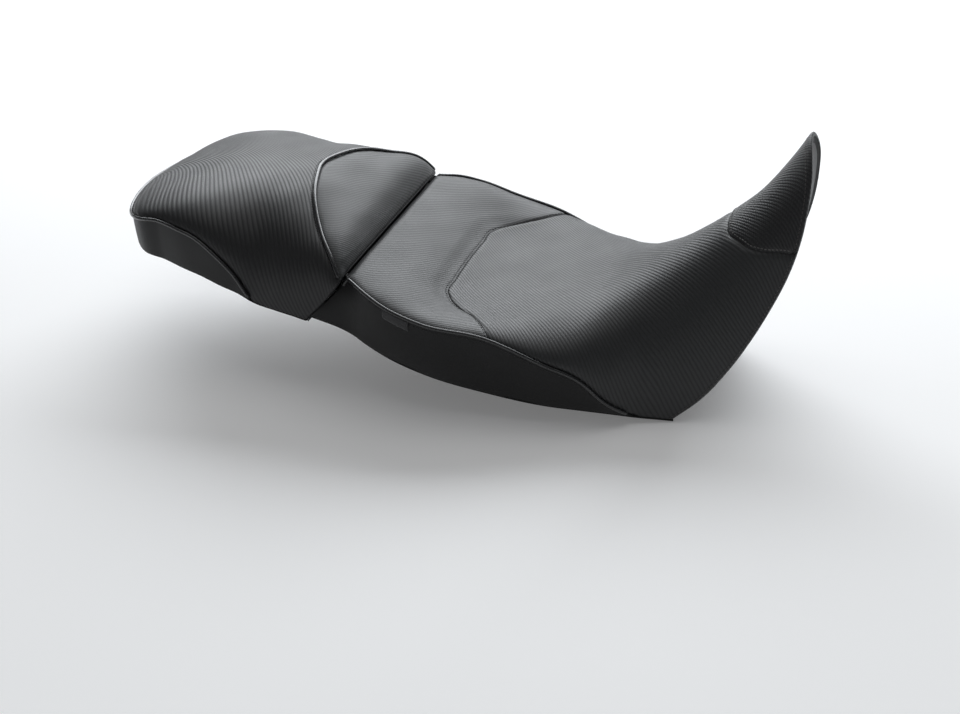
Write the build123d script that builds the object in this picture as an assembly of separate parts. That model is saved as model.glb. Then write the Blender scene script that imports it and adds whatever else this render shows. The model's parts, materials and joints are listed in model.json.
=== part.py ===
from build123d import *
from math import atan2, cos, degrees, hypot, pi, sin
from typing import NamedTuple
import os

# A two-piece motorcycle seat: a dished rider seat whose nose climbs up against the tank, and a
# pillion seat behind it that tilts up about its rear tongue.  Millimetres.  +X points to the
# front of the motorcycle, +Y to its left, +Z up.  The seat is drawn about the middle of the gap
# between the two cushions, and moved by ORIGIN_SHIFT so that it stands on Z = 0, centred.

# ---- driving dimensions ---------------------------------------------------------------------
ORIGIN_SHIFT = (-73.4, 0, 129.2)
COVER = 2.5            # vinyl cover with its scrim and felt backing
PAN = 3.5              # wall of the moulded base pans
CUSHION_GAP = 3.6      # between the two cushions, measured along X
RIM_BELOW_COVER = 1.0  # the pan's rim stands this far below the cover's edge
FIT = 0.05             # hand fit between the cover and what it wraps
PIPING_R = 1.9
GUSSET_WIDTH = 12      # plain strip that turns onto the tank-side face
HEM_THICK = 1.6        # edge of the cover, turned in over the pan's rim
HEM_HEIGHT = 9

# rubber bumpers that rest on the subframe: x, y of a pair, and its foot's height
BUMPER_R = 13
BUMPER_HIGH = 12
BOSS_R = 17
RIDER_BUMPERS = [(235, 72, -120), (-20, 78, -72)]
PILLION_BUMPERS = [(-92, 84, -54), (-205, 66, -26)]

# latch loops: x, lowest point, top of the mounting plate
RIDER_STRIKER = (8, -79, -55)
PILLION_STRIKER = (-80, -60, -35.5)
STRIKER_ROD_R = 4
STRIKER_HALF = 15      # between the loop's middle and each leg
STRIKER_BEND_R = 8
STRIKER_PLATE = (14, 30, 3)      # half length, half width, thickness
STRIKER_PAD = (18, 36)           # half length and half width of the pan's flat for the plate
NUT_R, NUT_HIGH = 7.5, 6

# steel tongues that hook under the motorcycle's brackets: x from, x to, half width, lower face
RIDER_TONGUE = (262, 338, 34, -118)
PILLION_TONGUE = (-272, -196, 30, -17)
TONGUE_THICK = 3
RIVET_R, RIVET_HIGH = 4.2, 2.4
RIDER_RIVETS = [(274, -20), (274, 20)]
PILLION_RIVETS = [(-214, -16), (-214, 16)]

STAPLE = (10, 0.9, 0.9)
STAPLE_PITCH = 22
STAPLE_CLEARANCE = 0.6
STAPLE_INSET = COVER + PAN + HEM_THICK + STAPLE[1] / 2 + STAPLE_CLEARANCE
LABEL_X = 60
LABEL = (28, 1.2, 10)


class Station(NamedTuple):
    """One cross-section of a cushion.  The edge is the piping line, where the top panel turns
    into the skirt; the rim is the lower edge of the skirt."""
    x: float
    edge_y: float
    edge_z: float
    crown_z: float
    rim_y: float
    rim_z: float
    side_power: float    # how square the top is across its width
    crown_power: float   # how square it is over its height
    dish: float          # how far the middle sinks below the crown


RIDER_STATIONS = [
    Station(-60, 136, 20, 24, 130, -52, 6, 2, 0),
    Station(0, 146, 4, 10, 141, -62, 6, 2, 0),
    Station(20, 160, 0, 5, 150, -67, 6, 2, 1),
    Station(45, 171, -8, -1, 156, -75, 5.5, 2, 5),
    Station(88, 174, -21, -15, 160, -86, 5, 2, 13),
    Station(150, 164, -32, -25, 156, -98, 4.5, 2, 7),
    Station(212, 155, -58, -25, 147, -108, 3.3, 2.1, 1),
    Station(245, 147, -74, -17, 137, -113, 2.9, 2.1, 0),
    Station(272, 136, -102, -4, 127, -118, 2.5, 2.1, 0),
    Station(300, 118, -122, 14, 118, -122.5, 2.2, 2.05, 0),
    Station(330, 106, -127, 35, 106, -127.5, 2.05, 2, 0),
    Station(365, 96, -131, 64, 96, -131.5, 2, 2, 0),
    Station(395, 89, -134, 95, 89, -134.5, 2, 2, 0),
    Station(420, 84, -136, 132, 84, -136.5, 2, 2, 0),
    Station(437, 81, -137, 163, 81, -137.5, 2, 2, 0),
    Station(450, 79, -138, 192, 79, -138.5, 2, 2, 0),
]
PILLION_STATIONS = [
    Station(-294.5, 16, 21, 23, 12, -7, 3, 2, 0),
    Station(-291, 38, 21.5, 25.5, 33, -7.5, 3, 2, 0),
    Station(-285, 62, 22, 29, 57, -8, 3.2, 2, 0),
    Station(-276, 86, 23, 33, 81, -8, 3.4, 2, 0),
    Station(-264, 107, 26, 40, 102, -8.5, 3.6, 2, 0),
    Station(-250, 122, 30, 45, 117, -9.5, 3.8, 2, 0),
    Station(-220, 131, 34, 54, 126, -12, 3.8, 2, 0),
    Station(-195, 138, 31, 60, 133, -16, 3.4, 2, 0),
    Station(-171, 142, 24, 63, 138, -20, 3.1, 2.1, 0),
    Station(-150, 145, 10, 64, 141, -26, 2.9, 2.2, 0),
    Station(-128, 147, -10, 65, 144, -31, 2.8, 2.3, 0),
    Station(-108, 149, -36, 66, 149, -36.5, 2.7, 2.4, 0),
    Station(-84, 151, -40, 66, 151, -40.5, 2.8, 2.5, 0),
    Station(-61, 153, -43, 60, 153, -43.5, 3, 2.9, 0),
    Station(-45, 155, -45, 52, 155, -45.5, 3.5, 3.3, 0),
    Station(-21, 157, -47, 38, 157, -47.5, 6, 4.5, 0),
    Station(-5, 159, -48, 22, 159, -48.5, 8, 5, 0),
    Station(10, 159, -49, 8, 159, -49.5, 8, 5, 0),
]
TOP, BOTTOM, WIDE = 230, -200, 230   # past the seat on every side

# Side-view lines, as (x, z).
TANK_FACE = [(335, -129), (357, -110), (386, -72), (405, -38), (420, -5), (433, 30), (441, 65),
             (444, 100), (443, 132), (435, 162), (424, 190)]
CUSHION_JOINT = [(-66, -74), (-55, -60), (-45, -48), (-12, -10), (0, 9), (8, 22)]
RIDER_FLOOR = [(-70, -38), (0, -46), (60, -62), (150, -80), (230, -93), (300, -104), (350, -106),
               (480, -106)]
PILLION_FLOOR = [(-300, 4), (-220, 0), (-150, -12), (-108, -23), (-61, -31), (-20, -36),
                 (40, -42)]
RIDER_SKIRT_TOP = [(-70, 23), (0, 4), (20, 0), (45, -8), (88, -21), (150, -32), (212, -58),
                   (245, -74), (272, -102), (287, -126)]
PILLION_SKIRT_TOP = [(-300, 21), (-285, 22), (-264, 26), (-250, 30), (-220, 34), (-195, 31),
                     (-171, 24), (-150, 10), (-128, -10), (-108, -36), (-100, -48)]

# Plan-view seams, as (x, y) on the left half.
DISH_SEAM = [(84, 0), (85, 48), (88, 84), (98, 100), (110, 112), (131, 130), (144, 146),
             (156, 164), (166, 180)]
NOSE_SEAM = [(362, 0), (364, 21), (368, 33), (379, 43), (393, 52), (408, 57), (428, 61), (460, 65)]
CROWN_SEAM = [(-84, 0), (-77, 34), (-61, 80), (-45, 109), (-29, 132), (-13, 148), (-5, 155),
              (2, 162)]
CROWN_WELT_Z = [66, 65, 54, 43, 34, 21, 14]   # height of the welt at the crown seam's points


# ---- curves and sections --------------------------------------------------------------------
def blend(rows, x, column):
    """Smooth value of one column of a table whose first column is x (cubic Hermite)."""
    xs = [row[0] for row in rows]
    ys = [row[column] for row in rows]

    def slope(i):
        if i in (0, len(xs) - 1):
            a, b = (i, i + 1) if i == 0 else (i - 1, i)
            return (ys[b] - ys[a]) / (xs[b] - xs[a])
        before, after = xs[i] - xs[i - 1], xs[i + 1] - xs[i]
        rise_before = (ys[i] - ys[i - 1]) / before
        rise_after = (ys[i + 1] - ys[i]) / after
        return (rise_before * after + rise_after * before) / (before + after)

    i = max(0, min(len(xs) - 2, sum(1 for value in xs if value <= x) - 1))
    step = xs[i + 1] - xs[i]
    t = (x - xs[i]) / step
    return ((2 * t**3 - 3 * t**2 + 1) * ys[i] + (t**3 - 2 * t**2 + t) * step * slope(i)
            + (3 * t**2 - 2 * t**3) * ys[i + 1] + (t**3 - t**2) * step * slope(i + 1))


def resample(points, count):
    """The polyline's points at count + 1 even distances along it."""
    lengths = [0]
    for a, b in zip(points, points[1:]):
        lengths.append(lengths[-1] + hypot(b[0] - a[0], b[1] - a[1]))
    even = []
    i = 0
    for k in range(count + 1):
        wanted = lengths[-1] * k / count
        while i < len(points) - 2 and lengths[i + 1] < wanted:
            i += 1
        share = (wanted - lengths[i]) / (lengths[i + 1] - lengths[i])
        a, b = points[i], points[i + 1]
        even.append((a[0] + (b[0] - a[0]) * share, a[1] + (b[1] - a[1]) * share))
    return even


def half_section(s, inset):
    """(y, z) from the crown over the edge to the rim."""
    edge_y, rim_y, crown_z = s.edge_y - inset, s.rim_y - inset, s.crown_z - inset
    edge_z = min(s.edge_z, crown_z - 1.5)
    points = []
    for k in range(61):
        angle = pi / 2 * k / 60
        across = sin(angle) ** (2 / s.side_power)
        sink = s.dish * max(0, 1 - (across / 0.95) ** 4) ** 2
        height = cos(angle) ** (2 / s.crown_power) if k < 60 else 0
        points.append((edge_y * across, edge_z + (crown_z - edge_z) * height - sink))
    for k in range(1, 9):
        v = k / 8
        points.append((edge_y + (rim_y - edge_y) * v**2, edge_z + (s.rim_z - edge_z) * v))
    return resample(points, 10)


def section(s, x, inset, drop):
    """Closed face across the cushion at x; drop lowers its flat bottom below the rim."""
    half = half_section(s, inset)
    left = [Vector(x, y, z) for y, z in half]
    right = [Vector(x, -y, z) for y, z in reversed(half[1:])]
    arch = right + left
    low_left = arch[-1] - Vector(0, 0, drop)
    low_right = arch[0] - Vector(0, 0, drop)
    base = Polyline(arch[-1], low_left, low_right, arch[0]) if drop else Line(arch[-1], arch[0])
    return Face(Wire([Spline(*arch), *base.edges()]))


def envelope(stations, inset=0.0, drop=0.0):
    """The cushion's outside, moved in by inset along the plan's normal."""
    faces = []
    for i, s in enumerate(stations):
        a, b = stations[max(0, i - 1)], stations[min(len(stations) - 1, i + 1)]
        turn = atan2(b.edge_y - a.edge_y, b.x - a.x)
        thinner = s._replace(edge_y=s.edge_y + inset * (1 - cos(turn)),
                             rim_y=s.rim_y + inset * (1 - cos(turn)))
        faces.append(section(thinner, s.x + inset * max(0, sin(turn)), inset, drop))
    return loft(faces)


# ---- cutting tools --------------------------------------------------------------------------
def side_prism(points):
    """Solid across the whole width, from a closed side-view outline; a point list inside the
    outline is one smooth line."""
    edges = []
    corners = []
    for item in points:
        if isinstance(item, list):
            line = [Vector(x, 0, z) for x, z in item]
            edges.append(Spline(*line))
            corners.append((line[0], line[-1]))
        else:
            corner = Vector(item[0], 0, item[1])
            corners.append((corner, corner))
    for (_, end), (start, _) in zip(corners, corners[1:] + corners[:1]):
        edges.append(Line(end, start))
    return extrude(Face(Wire(edges)), amount=WIDE, dir=(0, 1, 0), both=True)


def plan_prism(line, far_x):
    """Solid between a mirrored plan-view line and far_x, from top to bottom."""
    left = [Vector(x, y, BOTTOM) for x, y in line]
    curve = Spline(*[Vector(v.X, -v.Y, v.Z) for v in reversed(left[1:])], *left)
    far = [Vector(far_x, left[-1].Y, BOTTOM), Vector(far_x, -left[-1].Y, BOTTOM)]
    rest = Polyline(left[-1], *far, Vector(left[-1].X, -left[-1].Y, BOTTOM))
    return extrude(Face(Wire([curve, *rest.edges()])), amount=TOP - BOTTOM, dir=(0, 0, 1))


def shifted(line, dx=0.0, dz=0.0):
    return [(x + dx, z + dz) for x, z in line]


def rider_trim(inset):
    """Between the cushion joint and the tank-side face."""
    joint = shifted(CUSHION_JOINT, inset)
    tank = shifted(TANK_FACE, -inset)
    return side_prism([(joint[0][0], BOTTOM), joint, (joint[-1][0], TOP),
                       (tank[-1][0], TOP), tank[::-1], (tank[0][0], BOTTOM)])


def pillion_trim(inset):
    """Behind the cushion joint."""
    joint = shifted(CUSHION_JOINT, -inset - CUSHION_GAP)
    return side_prism([(-WIDE * 2, BOTTOM), (-WIDE * 2, TOP), (joint[-1][0], TOP),
                       joint[::-1], (joint[0][0], BOTTOM)])


def above(line):
    return side_prism([(line[0][0], TOP), line, (line[-1][0], TOP)])


def below(line):
    return side_prism([(line[0][0], BOTTOM), line, (line[-1][0], BOTTOM)])


def outboard(stations, margin):
    """Both sides of the cushion, from margin inside its edge outwards."""
    left = []
    for a, b in zip(stations, stations[1:]):
        run = hypot(b.x - a.x, b.edge_y - a.edge_y)
        x = (a.x + b.x) / 2 + margin * (b.edge_y - a.edge_y) / run
        y = (a.edge_y + b.edge_y) / 2 - margin * (b.x - a.x) / run
        left.append(Vector(x, max(y, 1), BOTTOM))
    outline = Polyline(*left, *[Vector(v.X, -v.Y, v.Z) for v in reversed(left)], close=True)
    middle = extrude(Face(Wire(outline.edges())), amount=TOP - BOTTOM, dir=(0, 0, 1))
    everything = Box(4 * WIDE, 2 * WIDE, TOP - BOTTOM).moved(Location((60, 0, (TOP + BOTTOM) / 2)))
    return everything - middle


# ---- small pieces ---------------------------------------------------------------------------
def tube_along(points, radius):
    """Round piping through the points, lofted over sections square to its run."""
    faces = []
    for i, point in enumerate(points):
        before, after = points[max(0, i - 1)], points[min(len(points) - 1, i + 1)]
        plane = Plane(origin=point, z_dir=after - before, x_dir=(0, 0, 1))
        faces.append(plane * Circle(radius).face())
    return loft(faces)


def disc(x, y, top_z, bottom_z, radius, soft=0.0):
    """Upright cylinder; soft rounds its lower edge."""
    part = Cylinder(radius, top_z - bottom_z).moved(Location((x, y, (top_z + bottom_z) / 2)))
    if soft:
        part = fillet(part.edges().filter_by(GeomType.CIRCLE).sort_by(Axis.Z)[0], soft)
    return part


def group(parts):
    return Compound(children=[Solid(part.solid().wrapped) for part in parts])


def largest(shape):
    """The main solid of a cut, without crumbs."""
    return max(shape.solids(), key=lambda solid: solid.volume)


def save(name, shape):
    export_step(shape.moved(Location(ORIGIN_SHIFT)), f"parts/{name}.step")


def plate(x0, x1, half, z0, z1, corner):
    """Flat plate with rounded plan corners."""
    body = Box(x1 - x0, 2 * half, z1 - z0).moved(Location(((x0 + x1) / 2, 0, (z0 + z1) / 2)))
    return fillet(body.edges().filter_by(Axis.Z), corner)


def boss(x, y, seat_z):
    """Flat-ended moulded boss from the pan's web down to seat_z."""
    return Cylinder(BOSS_R, 60).moved(Location((x, y, seat_z + 30)))


def striker_pad(x, low_z, plate_z):
    """Flat block of the pan that a striker's plate is bolted to."""
    long, wide = STRIKER_PAD
    return plate(x - long, x + long, wide, plate_z, 0, 6)


def both_sides(pairs):
    return [(x, side * y, z) for x, y, z in pairs for side in (-1, 1)]


def bumpers(pairs):
    return group([disc(x, y, z + BUMPER_HIGH, z, BUMPER_R, 3) for x, y, z in both_sides(pairs)])


def staples(stations, xs, inset):
    """Wire staples that hold the turned-in cover edge, in two rows along the rim."""
    parts = []
    for x in xs:
        turn = atan2(blend(stations, x + 4, 4) - blend(stations, x - 4, 4), 8)
        rim_y = blend(stations, x, 4) - inset / cos(turn)
        for side in (-1, 1):
            place = Location((x, side * rim_y, blend(stations, x, 5) + HEM_HEIGHT / 2),
                             (0, 0, side * degrees(turn)))
            parts.append(Box(*STAPLE).moved(place))
    return group(parts)


def striker(x, low_z, plate_z):
    """Round-wire latch loop with its mounting plate and two nuts."""
    half, rod_z = STRIKER_HALF, low_z + STRIKER_ROD_R
    path = FilletPolyline((x, -half, plate_z), (x, -half, rod_z), (x, half, rod_z),
                          (x, half, plate_z), radius=STRIKER_BEND_R)
    start = Plane(origin=path @ 0, z_dir=path % 0)
    rod = sweep(start * Circle(STRIKER_ROD_R).face(), path=path)
    holes = [Cylinder(STRIKER_ROD_R, 30).moved(Location((x, side * half, plate_z)))
             for side in (-1, 1)]
    long, wide, thick = STRIKER_PLATE
    base = plate(x - long, x + long, wide, plate_z - thick, plate_z, 5) - holes
    nut_z = plate_z - thick - NUT_HIGH
    nuts = [extrude(Plane(origin=(x, side * half, nut_z)) * RegularPolygon(NUT_R, 6), NUT_HIGH)
            - hole for side, hole in zip((-1, 1), holes)]
    return rod, base, group(nuts)


def rivets(places, top_z):
    bottom_z = top_z - RIVET_HIGH
    return group([fillet(Cylinder(RIVET_R, top_z - bottom_z).edges().sort_by(Axis.Z)[0], 1)
                  .moved(Location((x, y, (top_z + bottom_z) / 2))) for x, y in places])


def save_rider():
    trims = {d: rider_trim(d) for d in (0, COVER - FIT, COVER, COVER + PAN)}
    outside = envelope(RIDER_STATIONS) & trims[0]
    core = envelope(RIDER_STATIONS, COVER + FIT, RIM_BELOW_COVER)
    ends = (core & trims[0]) - trims[COVER - FIT]
    core &= trims[COVER]
    hollow = envelope(RIDER_STATIONS, COVER + PAN, 20)

    # foam over the pan's web, and the pan below and in front of it
    foam_side = above(RIDER_FLOOR) & trims[COVER + PAN]
    foam = largest(core & foam_side)
    cavity = hollow & below(shifted(RIDER_FLOOR, dz=-PAN)) & trims[COVER + PAN]
    pan = largest(core - foam_side - cavity)
    web = below(shifted(RIDER_FLOOR, dz=-1))
    for x, y, foot_z in both_sides(RIDER_BUMPERS):
        pan += boss(x, y, foot_z + BUMPER_HIGH) & web
    tongue_x, tongue_end, tongue_half, tongue_z = RIDER_TONGUE
    pan += striker_pad(*RIDER_STRIKER) & web
    pan += plate(tongue_x - 4, 300, tongue_half - 4, tongue_z + TONGUE_THICK, -60, 6) & web
    pan = largest(pan)

    # cover: shell cut along its seams
    shell = outside - envelope(RIDER_STATIONS, COVER, 10)
    skirts = shell & below(RIDER_SKIRT_TOP) & outboard(RIDER_STATIONS, 16)
    top = shell - skirts
    behind_seam = plan_prism(DISH_SEAM, -200)
    nose_zone = plan_prism(NOSE_SEAM, 500)
    save("rider_skirt_right", largest(skirts & Box(900, 300, 900).moved(Location((0, -150, 0)))))
    save("rider_skirt_left", largest(skirts & Box(900, 300, 900).moved(Location((0, 150, 0)))))
    save("rider_rear_panel", largest(top & behind_seam))
    save("rider_nose_panel", largest(top & nose_zone))
    save("rider_seat_panel", largest(top - behind_seam - nose_zone))

    # plain strips that close the cover at its two ends
    front_only = Box(400, 600, 600).moved(Location((440, 0, 0)))
    ring = envelope(RIDER_STATIONS, COVER + GUSSET_WIDTH, 30)
    save("rider_front_gusset", largest((ends & front_only) - ring))
    save("rider_rear_gusset", largest(ends - front_only))

    for side, name in ((-1, "right"), (1, "left")):
        xs = [4, 20, 45, 70, 95, 125, 155, 185, 212, 235, 255, 270, 280]
        line = [Vector(x, side * (blend(RIDER_STATIONS, x, 1) + PIPING_R * 0.7),
                       blend(RIDER_SKIRT_TOP, x, 1) + PIPING_R * 0.6) for x in xs]
        save(f"rider_piping_{name}", tube_along(line, PIPING_R))

    hem_outer = envelope(RIDER_STATIONS, COVER + PAN + FIT, 0.5)
    hem_inner = envelope(RIDER_STATIONS, COVER + PAN + HEM_THICK, 20)
    rim_line = [(s.x, s.rim_z + HEM_HEIGHT) for s in RIDER_STATIONS]
    hem = (hem_outer & below(rim_line) & rider_trim(COVER + PAN + 2)) - hem_inner
    save("rider_cover_hem", group(hem.solids()))
    save("rider_staples", staples(RIDER_STATIONS, range(14, 300, STAPLE_PITCH),
                                  STAPLE_INSET))

    save("rider_bumpers", bumpers(RIDER_BUMPERS))
    rod, base, nuts = striker(*RIDER_STRIKER)
    save("rider_striker", rod)
    save("rider_striker_plate", base)
    save("rider_striker_nuts", nuts)

    save("rider_front_tongue", plate(tongue_x, tongue_end, tongue_half, tongue_z,
                                     tongue_z + TONGUE_THICK, 9))
    save("rider_tongue_rivets", rivets(RIDER_RIVETS, tongue_z))

    label_y = blend(RIDER_STATIONS, LABEL_X, 1) + LABEL[1] / 2 + 0.3
    label_z = blend(RIDER_SKIRT_TOP, LABEL_X, 1) - 8
    save("side_label", Box(*LABEL).moved(Location((LABEL_X, -label_y, label_z))))
    save("rider_foam", foam)
    save("rider_base_pan", pan)


# ---- pillion seat ---------------------------------------------------------------------------
def save_pillion():
    trims = {d: pillion_trim(d) for d in (0, COVER - FIT, COVER, COVER + PAN)}
    outside = envelope(PILLION_STATIONS) & trims[0]
    core = envelope(PILLION_STATIONS, COVER + FIT, RIM_BELOW_COVER)
    ends = (core & trims[0]) - trims[COVER - FIT]
    core &= trims[COVER]
    hollow = envelope(PILLION_STATIONS, COVER + PAN, 20)

    foam_side = above(PILLION_FLOOR)
    foam = largest(core & foam_side)
    cavity = hollow & below(shifted(PILLION_FLOOR, dz=-PAN)) & trims[COVER + PAN]
    pan = largest(core - foam_side - cavity)
    web = below(shifted(PILLION_FLOOR, dz=-1))
    for x, y, foot_z in both_sides(PILLION_BUMPERS):
        pan += boss(x, y, foot_z + BUMPER_HIGH) & web
    tongue_x, tongue_end, tongue_half, tongue_z = PILLION_TONGUE
    pan += striker_pad(*PILLION_STRIKER) & web
    pan += plate(-240, -200, tongue_half - 4, tongue_z + TONGUE_THICK, 40, 6) & web
    pan = largest(pan)

    shell = outside - envelope(PILLION_STATIONS, COVER, 10)
    skirts = shell & below(PILLION_SKIRT_TOP) & outboard(PILLION_STATIONS, 14)
    top = shell - skirts
    front_zone = plan_prism(CROWN_SEAM, 100)
    save("pillion_skirt", largest(skirts))
    save("pillion_front_panel", largest(top & front_zone))
    save("pillion_rear_panel", largest(top - front_zone))
    save("pillion_front_gusset", largest(ends))

    half = [Vector(x, y, z) for (x, y), z in zip(CROWN_SEAM, CROWN_WELT_Z)]
    arch = [Vector(v.X, -v.Y, v.Z) for v in reversed(half[1:])] + half
    save("pillion_crown_welt", tube_along([v + Vector(0, 0, PIPING_R + 0.4) for v in arch], PIPING_R))

    xs = [-120, -135, -150, -171, -195, -220, -235, -250, -264, -276, -285, -291]
    side_line = [Vector(x, blend(PILLION_STATIONS, x, 1) + PIPING_R * 0.8,
                        blend(PILLION_SKIRT_TOP, x, 1) + PIPING_R * 0.4) for x in xs]
    tail = side_line + [Vector(-295.6, 0, side_line[-1].Z)]
    line = tail + [Vector(v.X, -v.Y, v.Z) for v in reversed(tail[:-1])]
    save("pillion_edge_piping", tube_along(line, PIPING_R))

    hem_outer = envelope(PILLION_STATIONS, COVER + PAN + FIT, 0.5)
    hem_inner = envelope(PILLION_STATIONS, COVER + PAN + HEM_THICK, 20)
    rim_line = [(s.x, s.rim_z + HEM_HEIGHT) for s in PILLION_STATIONS]
    under_web = below(shifted(PILLION_FLOOR, dz=-PAN - FIT))
    hem = (hem_outer & below(rim_line) & under_web & pillion_trim(COVER + PAN + 2)) - hem_inner
    save("pillion_cover_hem", group(hem.solids()))
    save("pillion_staples", staples(PILLION_STATIONS, range(-223, -70, STAPLE_PITCH),
                                    STAPLE_INSET))

    save("pillion_bumpers", bumpers(PILLION_BUMPERS))
    rod, base, nuts = striker(*PILLION_STRIKER)
    save("pillion_striker", rod)
    save("pillion_striker_plate", base)
    save("pillion_striker_nuts", nuts)
    save("pillion_rear_tongue", plate(tongue_x, tongue_end, tongue_half, tongue_z,
                                      tongue_z + TONGUE_THICK, 9))
    save("pillion_tongue_rivets", rivets(PILLION_RIVETS, tongue_z))
    save("pillion_foam", foam)
    save("pillion_base_pan", pan)


os.makedirs("parts", exist_ok=True)
save_rider()
save_pillion()
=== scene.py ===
import json
import math

import bpy
import numpy as np
from mathutils import Matrix, Vector


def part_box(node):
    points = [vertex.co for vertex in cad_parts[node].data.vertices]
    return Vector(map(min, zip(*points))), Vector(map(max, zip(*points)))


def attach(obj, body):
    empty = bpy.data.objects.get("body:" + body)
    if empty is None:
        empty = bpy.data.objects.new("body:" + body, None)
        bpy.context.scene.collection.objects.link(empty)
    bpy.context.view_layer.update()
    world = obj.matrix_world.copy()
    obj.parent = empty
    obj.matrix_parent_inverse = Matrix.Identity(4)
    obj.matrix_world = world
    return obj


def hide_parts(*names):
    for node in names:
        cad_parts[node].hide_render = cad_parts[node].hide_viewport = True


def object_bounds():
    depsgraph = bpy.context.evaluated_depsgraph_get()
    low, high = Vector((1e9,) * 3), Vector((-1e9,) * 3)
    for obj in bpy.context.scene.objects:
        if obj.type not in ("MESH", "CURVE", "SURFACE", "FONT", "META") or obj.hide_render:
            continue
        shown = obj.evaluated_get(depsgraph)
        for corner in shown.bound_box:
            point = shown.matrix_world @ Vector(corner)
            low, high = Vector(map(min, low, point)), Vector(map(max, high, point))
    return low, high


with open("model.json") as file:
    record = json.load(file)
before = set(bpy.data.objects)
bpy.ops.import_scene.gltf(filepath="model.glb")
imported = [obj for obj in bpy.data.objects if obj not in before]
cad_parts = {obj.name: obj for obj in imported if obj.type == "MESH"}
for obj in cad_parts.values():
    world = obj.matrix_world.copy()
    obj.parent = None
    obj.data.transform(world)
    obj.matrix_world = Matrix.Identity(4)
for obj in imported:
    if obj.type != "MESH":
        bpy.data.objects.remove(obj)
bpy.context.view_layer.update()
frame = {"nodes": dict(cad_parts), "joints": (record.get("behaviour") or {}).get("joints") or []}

# A two-piece motorcycle seat.  The covers are drawn in the seat's own coordinates, in
# millimetres about the middle of the gap between the cushions (+X front, +Y left, +Z up), and
# moved into the frame by SHIFT, which comes from the pillion's tilt hinge.
HINGE_DRAWN = np.array((-258.0, 0.0, -14.0))
SHIFT = np.array(frame["joints"][0]["pos_m"]) * 1000 - HINGE_DRAWN

COVER = 1.8          # thickness of the covers, mm
PIPING_R = 1.9
CUSHION_GAP = 3.6
HEM_UP = 9.0         # turned-in edge inside the pan's rim
SKIRT_STITCH_DROP = 5.2   # from the piping line down to the stitches on the side walls
LABEL_DROP = 10.5    # length of the woven tag below the piping
RIDER_FALL, PILLION_FALL = (11, 2.2), (26, 6.5)   # rounding into the joint: reach and depth
WEAVE_PITCH, NOSE_PITCH = 0.0034, 0.0027   # rib to rib of the twill, metres

# Cross-sections: x, edge half-width and height, crown height, rim half-width and height,
# squareness across and up, depth of the dish.  The edge is the piping line.
RIDER = np.array([
    (-60, 136, 20, 24, 130, -52, 6, 2, 0), (0, 146, 4, 10, 141, -62, 6, 2, 0),
    (20, 160, 0, 5, 150, -67, 6, 2, 1), (45, 171, -8, -1, 156, -75, 5.5, 2, 5),
    (88, 174, -21, -15, 160, -86, 5, 2, 13), (150, 164, -32, -25, 156, -98, 4.5, 2, 7),
    (212, 155, -58, -25, 147, -108, 3.3, 2.1, 1), (245, 147, -74, -17, 137, -113, 2.9, 2.1, 0),
    (272, 136, -102, -4, 127, -118, 2.5, 2.1, 0), (300, 118, -122, 14, 118, -122.5, 2.2, 2.05, 0),
    (330, 106, -127, 35, 106, -127.5, 2.05, 2, 0), (365, 96, -131, 64, 96, -131.5, 2, 2, 0),
    (395, 89, -134, 95, 89, -134.5, 2, 2, 0), (420, 84, -136, 132, 84, -136.5, 2, 2, 0),
    (437, 81, -137, 163, 81, -137.5, 2, 2, 0), (450, 79, -138, 192, 79, -138.5, 2, 2, 0)])
PILLION = np.array([
    (-294.5, 16, 21, 23, 12, -7, 3, 2, 0), (-291, 38, 21.5, 25.5, 33, -7.5, 3, 2, 0),
    (-285, 62, 22, 29, 57, -8, 3.2, 2, 0), (-276, 86, 23, 33, 81, -8, 3.4, 2, 0),
    (-264, 107, 26, 40, 102, -8.5, 3.6, 2, 0), (-250, 122, 30, 45, 117, -9.5, 3.8, 2, 0),
    (-220, 131, 34, 54, 126, -12, 3.8, 2, 0), (-195, 138, 31, 60, 133, -16, 3.4, 2, 0),
    (-171, 142, 24, 63, 138, -20, 3.1, 2.1, 0), (-150, 145, 10, 64, 141, -26, 2.9, 2.2, 0),
    (-128, 147, -10, 65, 144, -31, 2.8, 2.3, 0), (-108, 149, -36, 66, 149, -36.5, 2.7, 2.4, 0),
    (-84, 151, -40, 66, 151, -40.5, 2.8, 2.5, 0), (-61, 153, -43, 60, 153, -43.5, 3, 2.9, 0),
    (-45, 155, -45, 52, 155, -45.5, 3.5, 3.3, 0), (-21, 157, -47, 38, 157, -47.5, 6, 4.5, 0),
    (-5, 159, -48, 22, 159, -48.5, 8, 5, 0), (10, 159, -49, 8, 159, -49.5, 8, 5, 0)])

# Side-view lines (x, z) and plan-view seams (x, y on the left half).
TANK_FACE = np.array([(335, -129), (357, -110), (386, -72), (405, -38), (420, -5), (433, 30),
                      (441, 65), (444, 100), (443, 132), (435, 162), (424, 190)], float)
CUSHION_JOINT = np.array([(-66, -74), (-55, -60), (-45, -48), (-12, -10), (0, 9), (8, 22)], float)
DISH_SEAM = [(84, 0), (85, 48), (88, 84), (98, 100), (110, 112), (131, 130), (144, 146),
             (156, 164), (166, 180)]
NOSE_SEAM = [(362, 0), (364, 21), (368, 33), (379, 43), (393, 52), (408, 57), (428, 61),
             (441, 63.5)]
CROWN_SEAM = [(-84, 0), (-77, 34), (-61, 80), (-45, 109), (-29, 132), (-13, 148), (-5, 155)]
NOSE_HALF_WIDTH = 61.5   # half the nose panel's width where its seam meets the front edge
SKIRT_END_X = 286    # where the rider's piping runs out over the rim
PILLION_SKIRT_END_X = -112


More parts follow.
